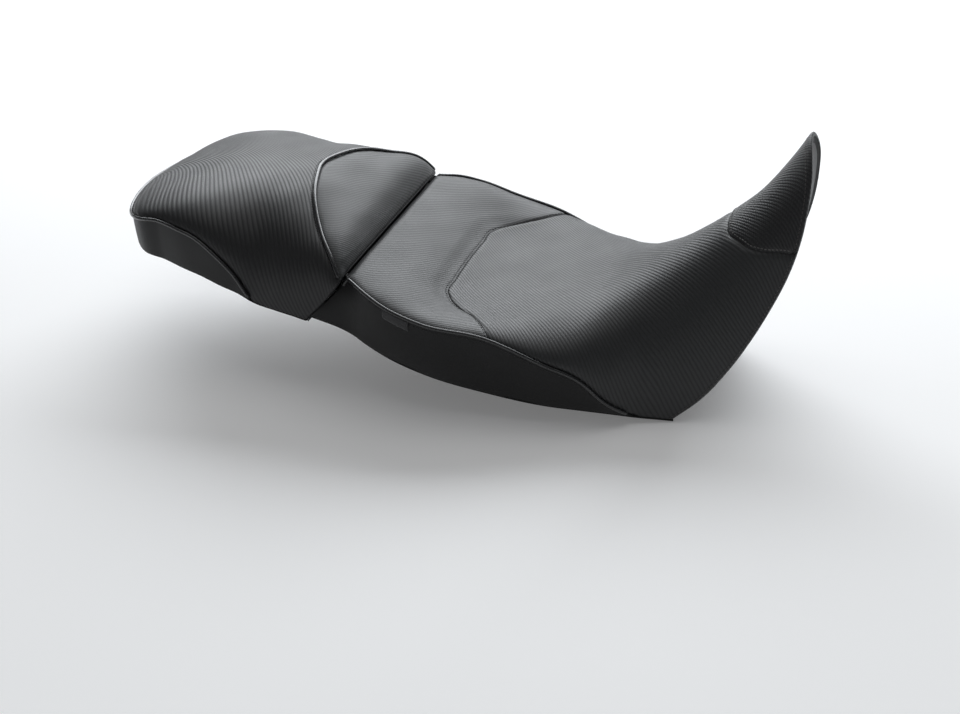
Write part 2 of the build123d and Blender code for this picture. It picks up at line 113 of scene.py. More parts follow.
# ---- curves and the cushions' surfaces ------------------------------------------------------
def hermite(xs, ys, x):
    """Cubic Hermite through (xs, ys), evaluated at x."""
    xs = np.asarray(xs, float)
    ys = np.asarray(ys, float)
    slope = np.gradient(ys, xs)
    i = np.clip(np.searchsorted(xs, x) - 1, 0, len(xs) - 2)
    step = xs[i + 1] - xs[i]
    t = np.clip((x - xs[i]) / step, 0, 1)
    return ((2 * t**3 - 3 * t**2 + 1) * ys[i] + (t**3 - 2 * t**2 + t) * step * slope[i]
            + (3 * t**2 - 2 * t**3) * ys[i + 1] + (t**3 - t**2) * step * slope[i + 1])


def smooth_step(a, b, value):
    t = np.clip((value - a) / (b - a), 0, 1)
    return t * t * (3 - 2 * t)


TABLE_ROWS, TABLE_COLUMNS = 256, 64   # cells of the tables that stand for a cushion's lengths


def from_table(table, i, j):
    """Bilinear value of a table at fractional row i and column j."""
    a, b = i.astype(int), j.astype(int)
    f, g = i - a, j - b
    return ((table[a, b] * (1 - g) + table[a, b + 1] * g) * (1 - f)
            + (table[a + 1, b] * (1 - g) + table[a + 1, b + 1] * g) * f)


class Surface:
    """A cushion's outside.  top(x, s) is the panel, s from -1 to 1 by length across it;
    skirt(x, v) is the side wall from the piping line, v = 0, to the rim, v = 1."""

    def __init__(self, table):
        self.table = table
        self.x_low, self.x_high = table[0, 0], table[-1, 0]
        self.xs = np.linspace(self.x_low, self.x_high, TABLE_ROWS + 1)
        self.share = np.linspace(0, 1, TABLE_COLUMNS + 1)
        angle = np.linspace(0, 1, 401)
        spread = np.tile(angle, (len(self.xs), 1))
        points = self._at(self.xs[:, None], spread)
        step = np.linalg.norm(np.diff(points, axis=1), axis=2)
        length = np.concatenate([np.zeros((len(self.xs), 1)), np.cumsum(step, axis=1)], 1)
        self.width = length[:, -1]
        self.angle_of = np.array([np.interp(self.share * row[-1], row, angle) for row in length])
        edge_y = self.column(1, self.xs)
        self.across_of = np.array([
            np.interp(self.share * row[-1], row, np.abs(line[:, 1]) / reach)
            for row, line, reach in zip(length, points, edge_y)])

    def column(self, k, x):
        return hermite(self.table[:, 0], self.table[:, k], np.clip(x, self.x_low, self.x_high))

    def _at(self, x, t):
        edge_y, edge_z, crown_z = (self.column(k, x) for k in (1, 2, 3))
        side, up, dish = (self.column(k, x) for k in (6, 7, 8))
        turn = np.abs(t) * math.pi / 2
        across = np.sin(turn) ** (2 / side)
        sink = dish * np.clip(1 - (across / 0.95) ** 4, 0, None) ** 2
        height = np.clip(np.cos(turn), 0, None) ** (2 / up)
        z = edge_z + (crown_z - edge_z) * height - sink
        y = np.sign(t) * edge_y * across
        return np.stack(np.broadcast_arrays(np.asarray(x, float), y, z), -1)

    def table_row(self, x):
        share = (x - self.x_low) / (self.x_high - self.x_low)
        return np.clip(share * TABLE_ROWS, 0, TABLE_ROWS - 0.001)

    def _look_up(self, x, s):
        """Angle share for a length share, from the tables made above."""
        i = self.table_row(x)
        j = np.clip(np.abs(s) * TABLE_COLUMNS, 0, TABLE_COLUMNS - 0.001)
        near, far = (from_table(table, i, j) for table in (self.across_of, self.angle_of))
        side = self.column(6, x)
        from_across = np.arcsin(np.clip(near, 0, 1) ** (side / 2)) / (math.pi / 2)
        mix = smooth_step(0.35, 0.6, np.abs(s))
        return np.sign(s) * (from_across * (1 - mix) + far * mix)

    def top(self, x, s):
        x, s = np.broadcast_arrays(np.asarray(x, float), np.asarray(s, float))
        return self._at(x, self._look_up(x, s))

    def skirt(self, x, v, side):
        x, v = np.broadcast_arrays(np.asarray(x, float), np.asarray(v, float))
        edge_y, edge_z, rim_y, rim_z = (self.column(k, x) for k in (1, 2, 4, 5))
        y = side * (edge_y + (rim_y - edge_y) * v**2)
        return np.stack([x, y, edge_z + (rim_z - edge_z) * v], -1)

    def across(self, x, s):
        """Length from the crown line to s, in mm."""
        return np.interp(x, self.xs, self.width) * s


rider = Surface(RIDER)
pillion = Surface(PILLION)


def solve_x(function, low, high, steps=40):
    """Bisection for function(x) = 0 on arrays; function is below zero at low."""
    low = np.array(low, float)
    high = np.array(high, float)
    for _ in range(steps):
        middle = (low + high) / 2
        below = function(middle) < 0
        low = np.where(below, middle, low)
        high = np.where(below, high, middle)
    return (low + high) / 2


def joint_x(z, gap):
    """x of the joint between the cushions at height z, moved back by gap."""
    return hermite(CUSHION_JOINT[:, 1], CUSHION_JOINT[:, 0], np.clip(z, -74, 22)) - gap


def tank_x(z):
    return hermite(TANK_FACE[:, 1], TANK_FACE[:, 0], np.clip(z, -129, 190))


def seam_x(seam, y):
    half = np.array(seam, float)
    whole = np.concatenate([half[:0:-1] * (1, -1), half])
    return hermite(whole[:, 1], whole[:, 0], np.clip(y, -half[-1, 1], half[-1, 1]))


def distance_to(points, line):
    """Distance of every point from a dense polyline."""
    flat = points.reshape(-1, 3)
    best = np.full(len(flat), 1e9)
    for part in np.array_split(line, max(1, len(line) // 40)):
        gap = ((flat[:, None, :] - part[None]) ** 2).sum(2).min(1)
        best = np.minimum(best, gap)
    return np.sqrt(best).reshape(points.shape[:-1])


def grid_normals(points):
    """Outward unit normals of a grid whose rows run forward and whose columns run to the left."""
    forward = np.gradient(points, axis=0)
    left = np.gradient(points, axis=1)
    normal = np.cross(forward, left)
    size = np.linalg.norm(normal, axis=2, keepdims=True)
    return normal / np.where(size < 1e-9, 1, size)


def waviness(p):
    """Low hand-worked unevenness of the foam under the cover, in mm."""
    x, y, z = p[..., 0], p[..., 1], p[..., 2]
    return (0.28 * np.sin(x / 17 + y / 31 + 0.4) * np.sin(y / 23 - z / 40 + 1.1)
            + 0.2 * np.sin(x / 9.5 - y / 14 + 2.0) * np.sin(z / 21 + y / 37)
            + 0.35 * np.sin(x / 41 + 0.7) * np.sin(y / 47 + z / 35 + 0.2))


def spread_rows(count, ends=0.35):
    """0 to 1 with rows closer together at both ends."""
    even = np.linspace(0, 1, count)
    return (1 - ends) * even + ends * (1 - np.cos(even * math.pi)) / 2


# ---- meshes ---------------------------------------------------------------------------------
def make_mesh(name, points, faces, uv=None):
    mesh = bpy.data.meshes.new(name)
    placed = (np.asarray(points, float).reshape(-1, 3) + SHIFT) / 1000
    mesh.from_pydata(placed.tolist(), [], faces)
    if uv is not None:
        layer = mesh.uv_layers.new(name="grain")
        corner = np.zeros(len(mesh.loops), np.int32)
        mesh.loops.foreach_get("vertex_index", corner)
        layer.data.foreach_set("uv", (np.asarray(uv).reshape(-1, 2)[corner] / 1000).ravel())
    mesh.polygons.foreach_set("use_smooth", [True] * len(mesh.polygons))
    mesh.update()
    piece = bpy.data.objects.new(name, mesh)
    bpy.context.scene.collection.objects.link(piece)
    return piece


def grid_faces(rows, columns, offset=0, closed=False, flip=False):
    faces = []
    for i in range(rows - 1):
        for j in range(columns if closed else columns - 1):
            k = (j + 1) % columns
            face = (offset + i * columns + j, offset + (i + 1) * columns + j,
                    offset + (i + 1) * columns + k, offset + i * columns + k)
            faces.append(face[::-1] if flip else face)
    return faces


def sheet(name, grids, flips, thickness=COVER):
    """One cover panel from point grids with their grain coordinates, thickened inwards."""
    points, uvs, faces, offset = [], [], [], 0
    for (grid, uv), flip in zip(grids, flips):
        rows, columns = grid.shape[:2]
        faces += grid_faces(rows, columns, offset, flip=flip)
        points.append(grid.reshape(-1, 3))
        uvs.append(uv.reshape(-1, 2))
        offset += rows * columns
    piece = make_mesh(name, np.concatenate(points), faces, np.concatenate(uvs))
    weld = piece.modifiers.new("weld", "WELD")
    weld.merge_threshold = 0.00005
    solid = piece.modifiers.new("thick", "SOLIDIFY")
    solid.thickness = thickness / 1000
    solid.offset = -1
    solid.use_even_offset = False
    return piece


def length_along(line):
    return np.concatenate([[0], np.cumsum(np.linalg.norm(np.diff(line, axis=0), axis=1))])


def even_line(points, step):
    """The polyline's points at even distances of about step mm."""
    points = np.asarray(points, float)
    length = length_along(points)
    count = max(2, int(round(length[-1] / step)) + 1)
    wanted = np.linspace(0, length[-1], count)
    return np.stack([np.interp(wanted, length, points[:, k]) for k in range(3)], 1)


def tube(name, line, radius, sides=14):
    """Round piping along a line, with rounded ends."""
    line = np.asarray(line, float)
    tangent = np.gradient(line, axis=0)
    tangent /= np.linalg.norm(tangent, axis=1, keepdims=True)
    up = np.array((0.0, 0.0, 1.0))
    rings, uvs = [], []
    length = length_along(line)
    for i, (point, t) in enumerate(zip(line, tangent)):
        side = np.cross(t, up)
        side /= np.linalg.norm(side)
        up = np.cross(side, t)
        close = min(length[i], length[-1] - length[i])
        r = radius * math.sqrt(max(0.04, 1 - max(0, 1 - close / radius) ** 2))
        turn = np.linspace(0, 2 * math.pi, sides, endpoint=False)
        rings.append(point + r * (np.outer(np.cos(turn), side) + np.outer(np.sin(turn), up)))
        uvs.append(np.stack([np.full(sides, length[i]), turn * radius], 1))
    rows = len(line)
    faces = grid_faces(rows, sides, closed=True)
    faces += [tuple(range(sides)), tuple(reversed(range((rows - 1) * sides, rows * sides)))]
    return make_mesh(name, np.array(rings), faces, np.array(uvs))


def stitches(name, line, normals, length=3.2, gap=1.1, radius=0.42):
    """Short thread bars along a line, each dipping into the cover at its ends."""
    line = np.asarray(line, float)
    run = length_along(line)
    count = int(run[-1] // (length + gap))
    sides, rings = 8, np.array((-0.5, -0.42, -0.2, 0.0, 0.2, 0.42, 0.5))
    points, faces = [], []
    for k in range(count):
        centre = (k + 0.5) * run[-1] / count
        spots = centre + rings * length
        bar = np.stack([np.interp(spots, run, line[:, j]) for j in range(3)], 1)
        out = np.stack([np.interp(spots, run, normals[:, j]) for j in range(3)], 1)
        out /= np.linalg.norm(out, axis=1, keepdims=True)
        along = bar[-1] - bar[0]
        along /= np.linalg.norm(along)
        lift = (1 - (2 * rings) ** 4) * radius * 1.3 - radius * 0.9
        for spot, normal, height, share in zip(bar, out, lift, rings):
            side = np.cross(along, normal)
            r = radius * (1.0 if abs(share) < 0.45 else 0.55)
            turn = np.linspace(0, 2 * math.pi, sides, endpoint=False)
            points.append(spot + normal * height + r * (np.outer(np.cos(turn), side)
                                                        + np.outer(np.sin(turn), normal)))
        offset = k * len(rings) * sides
        faces += grid_faces(len(rings), sides, offset, closed=True)
        last = offset + (len(rings) - 1) * sides
        faces += [tuple(range(offset, offset + sides)), tuple(reversed(range(last, last + sides)))]
    return make_mesh(name, np.array(points), faces)


# ---- materials ------------------------------------------------------------------------------
class Nodes:
    """A small helper that adds and links shader nodes of one material."""

    def __init__(self, name):
        self.material = bpy.data.materials.new(name)
        self.material.use_nodes = True
        self.tree = self.material.node_tree
        self.shader = self.tree.nodes["Principled BSDF"]

    def add(self, kind, inputs=None, **settings):
        node = self.tree.nodes.new("ShaderNode" + kind)
        for key, value in settings.items():
            setattr(node, key, value)
        for key, value in (inputs or {}).items():
            self.put(node.inputs[key], value)
        return node

    def put(self, socket, value):
        if isinstance(value, bpy.types.NodeSocket):
            self.tree.links.new(value, socket)
        else:
            socket.default_value = value

    def math(self, operation, a, b=0.0):
        return self.add("Math", {0: a, 1: b}, operation=operation).outputs[0]

    def ramp(self, value, stops):
        node = self.add("ValToRGB", {"Fac": value})
        elements = node.color_ramp.elements
        while len(elements) < len(stops):
            elements.new(0.5)
        for element, (place, colour) in zip(elements, stops):
            element.position = place
            element.color = (*colour, 1)
        return node.outputs["Color"]

    def noise(self, scale, detail, roughness, vector=None):
        inputs = {"Scale": scale, "Detail": detail, "Roughness": roughness}
        if vector is None:
            vector = self.add("TexCoord").outputs["Object"]
        inputs["Vector"] = vector
        return self.add("TexNoise", inputs).outputs["Fac"]

    def bump(self, height, distance, strength=1.0, under=None):
        inputs = {"Height": height, "Distance": distance, "Strength": strength}
        if under is not None:
            inputs["Normal"] = under
        return self.add("Bump", inputs).outputs["Normal"]

    def finish(self, colour, roughness, normal=None, **constants):
        self.put(self.shader.inputs["Base Color"], colour)
        self.put(self.shader.inputs["Roughness"], roughness)
        if normal is not None:
            self.put(self.shader.inputs["Normal"], normal)
        for key, value in constants.items():
            self.shader.inputs[key.replace("_", " ")].default_value = value
        return self.material


def wave01(n, phase):
    """0 to 1 cosine of a phase counted in turns."""
    angle = n.math("MULTIPLY", phase, 2 * math.pi)
    return n.math("ADD", n.math("MULTIPLY", n.math("COSINE", angle), 0.5), 0.5)


def twill_vinyl(name, lean, tone, depth, rough, groove_shade_amount, cells=0.22, pitch=WEAVE_PITCH):
    """Embossed vinyl: slanted ribs of short woven cells, lean = +1 or -1 for their direction, with
    painted shade darkening the grooves between them.
    """
    n = Nodes(name)
    grain = n.add("UVMap", uv_map="grain").outputs["UV"]
    split = n.add("SeparateXYZ", {0: grain})
    u, v = split.outputs["X"], split.outputs["Y"]
    scale = 1 / (pitch * math.sqrt(2))
    across = n.math("MULTIPLY", n.math("SUBTRACT" if lean > 0 else "ADD", u, v), scale)
    along = n.math("MULTIPLY", n.math("ADD" if lean > 0 else "SUBTRACT", u, v), scale)
    drift = n.math("MULTIPLY", n.noise(18, 2, 0.5), 0.22)
    across = n.math("ADD", across, drift)
    rib = wave01(n, across)
    row = n.math("FLOOR", across)
    cells_per_pitch = 2.6 if cells < 0.5 else 1.0
    cell_phase = n.math("ADD", n.math("MULTIPLY", along, cells_per_pitch),
                        n.math("MULTIPLY", row, 0.5))
    cell = wave01(n, cell_phase)
    rib_soft = n.math("POWER", rib, 0.6)
    # cells near 1 break the ribs up into separate dots
    plain = n.math("MULTIPLY", rib_soft, 1 - 0.75 * cells)
    height = n.math("ADD", plain, n.math("MULTIPLY", n.math("MULTIPLY", cell, rib), cells))
    fine = n.noise(1500, 3, 0.6)
    normal = n.bump(fine, 0.00005)
    normal = n.bump(height, depth, 1.0, normal)
    patch = n.noise(26, 3, 0.5)
    # the colour follows the ribs and cells: darker in the grooves between them, painted shade of
    # the relief
    low = tuple(c * (1 - groove_shade_amount) for c in tone)
    shade = n.ramp(n.math("ADD", n.math("MULTIPLY", rib_soft, 0.8), n.math("MULTIPLY", cell, 0.2)),
                   [(0.0, low), (0.55, tuple(c * 0.85 for c in tone)), (1.0, tone)])
    # random lighter patches of wear mixed over the painted groove shade
    worn_and_groove_shaded = n.add("MixRGB", {"Fac": n.math("MULTIPLY", patch, 0.22), "Color1": shade,
                            "Color2": (*(c * 1.5 for c in tone), 1)})
    between_ribs = n.math("MULTIPLY", n.math("SUBTRACT", 1.0, rib_soft), 0.22)
    uneven = n.math("ADD", rough, n.math("MULTIPLY", n.math("SUBTRACT", patch, 0.5), 0.1))
    rough_map = n.math("ADD", between_ribs, uneven)
    return n.finish(worn_and_groove_shaded.outputs["Color"], rough_map, normal, Specular_IOR_Level=0.5,
                    Sheen_Weight=0.05, Sheen_Roughness=0.4)


def smooth_vinyl(name, tone, rough=0.46):
    """Fine leather-grained vinyl of the side walls and gussets."""
    n = Nodes(name)
    place = n.add("TexCoord").outputs["Object"]
    pebble = n.add("TexVoronoi", {"Vector": place, "Scale": 900.0},
                   feature="F1").outputs["Distance"]
    crease = n.noise(420, 5, 0.6, place)
    cloud = n.noise(22, 3, 0.5, place)
    normal = n.bump(pebble, 0.00012)
    normal = n.bump(crease, 0.00016, 0.8, normal)
    colour = n.ramp(cloud, [(0.3, tuple(c * 0.8 for c in tone)),
                            (0.7, tuple(c * 1.25 for c in tone))])
    rough_map = n.math("ADD", rough, n.math("MULTIPLY", n.math("SUBTRACT", crease, 0.5), 0.16))
    return n.finish(colour, rough_map, normal, Specular_IOR_Level=0.3)


def piping_vinyl(name):
    n = Nodes(name)
    fleck = n.noise(300, 4, 0.6)
    fold = n.noise(60, 3, 0.5)
    normal = n.bump(fleck, 0.0001)
    normal = n.bump(fold, 0.0004, 0.7, normal)
    colour = n.ramp(fold, [(0.3, (0.008, 0.008, 0.009)), (0.75, (0.022, 0.022, 0.024))])
    rough = n.math("ADD", 0.2, n.math("MULTIPLY", fleck, 0.16))
    return n.finish(colour, rough, normal, Specular_IOR_Level=0.6, Coat_Weight=0.25,
                    Coat_Roughness=0.2)


def thread(name, tone):
    """Twisted sewing thread."""
    n = Nodes(name)
    place = n.add("TexCoord").outputs["Object"]
    twist = n.add("TexWave", {"Vector": place, "Scale": 700.0, "Distortion": 1.5},
                  bands_direction="DIAGONAL").outputs["Fac"]
    fuzz = n.noise(2600, 3, 0.6, place)
    # the colour darkens into the troughs of the twist, painted shade of the thread's relief
    colour = n.ramp(twist, [(0.2, tuple(c * 0.6 for c in tone)), (0.8, tone)])
    normal = n.bump(twist, 0.00012, 1.0, n.bump(fuzz, 0.00004))
    return n.finish(colour, 0.55, normal, Sheen_Weight=0.3, Sheen_Roughness=0.4)


def moulded_plastic(name, tone, rough=0.55):
    n = Nodes(name)
    grain = n.noise(1100, 4, 0.65)
    cloud = n.noise(14, 3, 0.5)
    scuff = n.noise(55, 6, 0.7)
    colour = n.ramp(n.math("ADD", n.math("MULTIPLY", cloud, 0.7), n.math("MULTIPLY", scuff, 0.3)),
                    [(0.3, tuple(c * 0.75 for c in tone)), (0.75, tuple(c * 1.4 for c in tone))])
    rough_map = n.math("ADD", rough, n.math("MULTIPLY", n.math("SUBTRACT", scuff, 0.5), 0.3))
    return n.finish(colour, rough_map, n.bump(grain, 0.0002), Specular_IOR_Level=0.45)


def plated_steel(name):
    """Zinc-plated steel with a faint spangle and dulled edges."""
    n = Nodes(name)
    spangle = n.add("TexVoronoi", {"Vector": n.add("TexCoord").outputs["Object"], "Scale": 260.0},
                    feature="F1").outputs["Color"]
    shade = n.add("RGBToBW", {0: spangle}).outputs[0]
    drag = n.noise(90, 6, 0.7)
    colour = n.ramp(n.math("ADD", n.math("MULTIPLY", shade, 0.35), n.math("MULTIPLY", drag, 0.65)),
                    [(0.25, (0.30, 0.30, 0.31)), (0.75, (0.56, 0.56, 0.55))])
    rough = n.math("ADD", 0.26, n.math("MULTIPLY", drag, 0.22))
    return n.finish(colour, rough, n.bump(drag, 0.00012), Metallic=1.0)


def bumper_rubber(name):
    n = Nodes(name)
    speck = n.noise(800, 4, 0.65)
    dust = n.noise(35, 5, 0.6)
    colour = n.ramp(dust, [(0.35, (0.012, 0.012, 0.012)), (0.75, (0.04, 0.039, 0.037))])
    rough = n.math("ADD", 0.62, n.math("MULTIPLY", dust, 0.2))
    return n.finish(colour, rough, n.bump(speck, 0.00015), Specular_IOR_Level=0.35)


def woven_label(name):
    """Black satin-woven tag, fine weft over warp, with no lettering."""
    n = Nodes(name)
    grain = n.add("UVMap", uv_map="grain").outputs["UV"]
    split = n.add("SeparateXYZ", {0: grain})
    warp = wave01(n, n.math("MULTIPLY", split.outputs["X"], 1 / 0.0006))
    weft = wave01(n, n.math("MULTIPLY", split.outputs["Y"], 1 / 0.0004))
    weave = n.math("MULTIPLY", warp, weft)
    # lighter where the threads cross and darker between them: painted light and shade of the weave
    # relief
    colour = n.ramp(weave, [(0.0, (0.02, 0.02, 0.021)), (1.0, (0.075, 0.075, 0.078))])
    return n.finish(colour, 0.6, n.bump(weave, 0.00008), Sheen_Weight=0.3, Sheen_Roughness=0.3)


GREY = (0.030, 0.031, 0.032)
DARK = (0.018, 0.018, 0.019)
MATERIALS = {
    "twill_rear": twill_vinyl("twill_rear", +1, GREY, 0.00011, 0.42, 0.3),
    "twill_seat": twill_vinyl("twill_seat", -1, GREY, 0.00021, 0.42, 0.45),
    "twill_nose": twill_vinyl("twill_nose", -1, DARK, 0.00035, 0.38, 0.6, 0.95, NOSE_PITCH),
    # the pillion's rear panel takes the DARK tone, painted shade for a panel that faces away from
    # the light
    "twill_pillion_shaded": twill_vinyl("twill_pillion_shaded", -1, DARK, 0.00024, 0.42, 0.5),
    "vinyl": smooth_vinyl("smooth_black_vinyl", (0.008, 0.008, 0.0085)),
    # the gussets' vinyl is a darker copy of the side vinyl, painted shade that holds down the
    # light the front gusset catches; it is also rougher
    "gusset": smooth_vinyl("gusset_vinyl", (0.006, 0.006, 0.0065), 0.68),
    "piping": piping_vinyl("piping_vinyl"),
    "thread": thread("black_thread", (0.03, 0.03, 0.032)),
    "edge_thread": thread("edge_thread", (0.085, 0.075, 0.07)),
    "grey_thread": thread("grey_thread", (0.16, 0.155, 0.15)),
    "plastic": moulded_plastic("pan_plastic", (0.022, 0.022, 0.024)),
    "steel": plated_steel("plated_steel"),
    "rubber": bumper_rubber("bumper_rubber"),
    "label": woven_label("woven_label"),
}


def dress(piece, material, body, replaces=()):
    """Material, body and the CAD nodes that the piece stands for."""
    piece.data.materials.clear()
    piece.data.materials.append(MATERIALS[material])
    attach(piece, body)
    if replaces:
        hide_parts(*replaces)
    return piece


# ---- cover panels ---------------------------------------------------------------------------
def grain_of(surface, x, s):
    """Grain coordinates in mm: length along the cushion at constant s, and length across it."""
    if not hasattr(surface, "run"):
        shares = np.linspace(-1, 1, TABLE_COLUMNS + 1)
        points = surface.top(surface.xs[:, None], shares[None, :])
        step = np.linalg.norm(np.diff(points, axis=0), axis=2)
        surface.run = np.concatenate([np.zeros((1, len(shares))), np.cumsum(step, axis=0)])
    j = np.clip((s + 1) / 2 * TABLE_COLUMNS, 0, TABLE_COLUMNS - 0.001)
    u = from_table(surface.run, surface.table_row(x), j)
    v = surface.across(x, s)
    if surface is rider:
        # in front, the sides hang as a flat sheet, so the grain there is level, not fanned
        growth = np.interp(x, surface.xs, surface.width) + surface.column(2, x)
        start = np.interp(SKIRT_END_X, surface.xs, surface.width) + surface.column(2, SKIRT_END_X)
        lift = np.where(x > SKIRT_END_X, np.maximum(0, growth - start), 0)
        v = v - np.sign(s) * smooth_step(0.05, 0.6, np.abs(s)) * lift * 0.9
    return np.stack([u, v], -1)


def groove(distance, depth, width):
    """How far a cover dips towards a seam."""
    return depth * np.exp(-(distance / width) ** 1.3)


def top_grid(surface, start, end, shares, count, spacing, shape):
    """Grid on the top from x = start(s) to end(s), with its grain; shape sinks it at seams."""
    f = spacing(count)[:, None]
    x = start[None, :] + (end - start)[None, :] * f
    s = np.broadcast_to(shares[None, :], x.shape)
    base = surface.top(x, s)
    normal = grid_normals(base)
    return base - normal * shape(base)[..., None], grain_of(surface, x, s)


def roll_over(edge, corner, down, reach, rows=7):
    """Rows that turn from edge round corner and run down the end face."""
    low = corner + down * 5.0
    t = np.linspace(0, 1, rows)[1:, None, None]
    bend = (1 - t) ** 2 * edge[None] + 2 * t * (1 - t) * corner[None] + t**2 * low[None]
    tail = corner[None] + down[None] * np.linspace(5.0, reach, 5)[1:, None, None]
    points = np.concatenate([bend, tail])
    step = np.diff(np.concatenate([edge[None], points]), axis=0)
    run = np.cumsum(np.linalg.norm(step, axis=2), axis=0)
    return points, run


def add_roll(grid, uv, rolled, run, front):
    """Joins rolled rows to the front or the rear of a grid."""
    sign = 1 if front else -1
    base = uv[-1] if front else uv[0]
    extra = np.stack([base[None, :, 0] + sign * run,
                      np.broadcast_to(base[None, :, 1], run.shape)], -1)
    if front:
        return np.concatenate([grid, rolled]), np.concatenate([uv, extra])
    return np.concatenate([rolled[::-1], grid]), np.concatenate([extra[::-1], uv])


def seam_line(surface, seam, shares, low, high):
    """x of a plan-view seam for each share across."""
    return solve_x(lambda x: x - seam_x(seam, surface.top(x, shares)[..., 1]),
                   np.full(shares.shape, low), np.full(shares.shape, high))


def dense(surface, x, shares):
    return even_line(surface.top(x, shares), 1.5)


def with_normals(surface, x, shares):
    """Points of a line across the top, one x for each share, and the normals there."""
    around = np.stack([surface.top(x + k, shares) for k in (-1, 0, 1)])
    return around[1], grid_normals(around)[1]


UNIT_Y = np.array((0.0, 1.0, 0.0))
JOINT_DOWN = np.array((-45.0, 0.0, -57.0)) / math.hypot(45, 57)   # down the faces of the joint
RIDER_FACE, PILLION_FACE = 1.1, CUSHION_GAP - 1.2   # the soft covers bulge into the joint, mm


def rider_shape(points):
    """Depth of the seam grooves and folds over the rider's panels, in mm."""
    d = distance_to(points, dish_line)
    side = np.abs(points[..., 1])
    behind = smooth_step(-3, 3, seam_x(DISH_SEAM, points[..., 1]) - points[..., 0])
    shoulder = (1 - smooth_step(5, 24, d)) * behind * (1 - smooth_step(96, 132, side))
    sink = groove(d, 2.0, 2.4) + 1.7 * shoulder
    sink = sink + groove(distance_to(points, nose_line), 2.3, 2.6)
    sink = sink + groove(distance_to(points, rider_edges), 1.5, 3.2)
    from_face = points[..., 0] - joint_x(points[..., 2], RIDER_FACE)
    sink = sink + edge_fall(from_face, *RIDER_FALL) * smooth_step(146, 132, side)
    return sink + waviness(points) + 0.1


def edge_fall(from_face, reach, depth):
    """How far a cushion's edge rounds down within reach of its end face."""
    return depth * np.clip(1 - from_face / reach, 0, 1) ** 2.2


def pillion_shape(points):
    sink = groove(distance_to(points, crown_line), 1.9, 3.4)
    from_face = joint_x(points[..., 2], PILLION_FACE) - points[..., 0]
    side = np.abs(points[..., 1])
    sink = sink + edge_fall(from_face, *PILLION_FALL) * smooth_step(156, 138, side)
    sink = sink + groove(distance_to(points, pillion_edges), 1.4, 3.2)
    return sink + waviness(points) + 0.1


def front_x(shares):
    """x where the rider's top meets the tank-side face, for each share across."""
    return solve_x(lambda x: x - tank_x(rider.top(x, shares)[..., 2]),
                   np.full(shares.shape, 322.0), np.full(shares.shape, 449.0))


# the share across at which the nose seam meets the front edge: the panels have a column there
probe = np.linspace(0.02, 0.98, 400)
probe_front = front_x(probe)
probe_y = rider.top(probe_front, probe)[..., 1]
NOSE_SHARE = float(np.interp(NOSE_HALF_WIDTH, probe_y, probe))
EDGE_BACK = 4.0      # the roll of the front edge starts this far behind it

rear_shares = np.linspace(-1, 1, 221)
dish_x = seam_line(rider, DISH_SEAM, rear_shares, 60.0, 176.0)
dish_line = dense(rider, dish_x, rear_shares)
centre_shares = np.linspace(-NOSE_SHARE, NOSE_SHARE, 97)
wing_shares = np.linspace(NOSE_SHARE, 1, 81)
front_centre = front_x(centre_shares)
front_wing = front_x(wing_shares)
whole_shares = np.concatenate([-wing_shares[::-1], centre_shares[1:-1], wing_shares])
whole_front = np.concatenate([front_wing[::-1], front_centre[1:-1], front_wing])
nose_x = np.minimum(seam_line(rider, NOSE_SEAM, centre_shares, 340.0, 447.0),
                    front_centre - EDGE_BACK)
nose_x[[0, -1]] = (front_centre - EDGE_BACK)[[0, -1]]
nose_line = dense(rider, nose_x, centre_shares)
edge_run = np.linspace(0, 300, 151)
rider_edges = np.concatenate([rider.top(edge_run, side) for side in (-1.0, 1.0)])


def tank_lean(corner):
    """Unit direction up the tank-side face."""
    z = corner[..., 2]
    lean = np.stack([tank_x(z + 1) - tank_x(z - 1), 0 * z, 0 * z + 2], -1)
    return lean / np.linalg.norm(lean, axis=-1, keepdims=True)


def inward_on(lean, normal):
    """Unit direction on an end face that points away from the cover's edge."""
    along_y = -(normal * UNIT_Y).sum(-1, keepdims=True) * UNIT_Y
    along_z = -(normal * lean).sum(-1, keepdims=True) * lean
    inward = along_y + along_z
    return inward / np.linalg.norm(inward, axis=-1, keepdims=True)


def front_roll(grid, uv, shares, corner_x, reach=7.0):
    """Turns a panel's front edge over onto the tank-side face."""
    corner, normal = with_normals(rider, corner_x, shares)
    rolled, run = roll_over(grid[-1], corner, inward_on(tank_lean(corner), normal), reach)
    rolled[..., 0] = np.minimum(rolled[..., 0], tank_x(rolled[..., 2]) + 0.2)
    return add_roll(grid, uv, rolled, run, front=True)


def joint_roll(surface, grid, uv, shares, corner_x, reach, front):
    """Turns a panel's edge over into the joint between the cushions."""
    line, normal = with_normals(surface, corner_x, shares)
    shape = rider_shape if surface is rider else pillion_shape
    corner = line - normal * shape(line)[:, None]
    inward = inward_on(-JOINT_DOWN, normal)
    rolled, run = roll_over(grid[-1 if front else 0], corner, inward, reach)
    return add_roll(grid, uv, rolled, run, front)


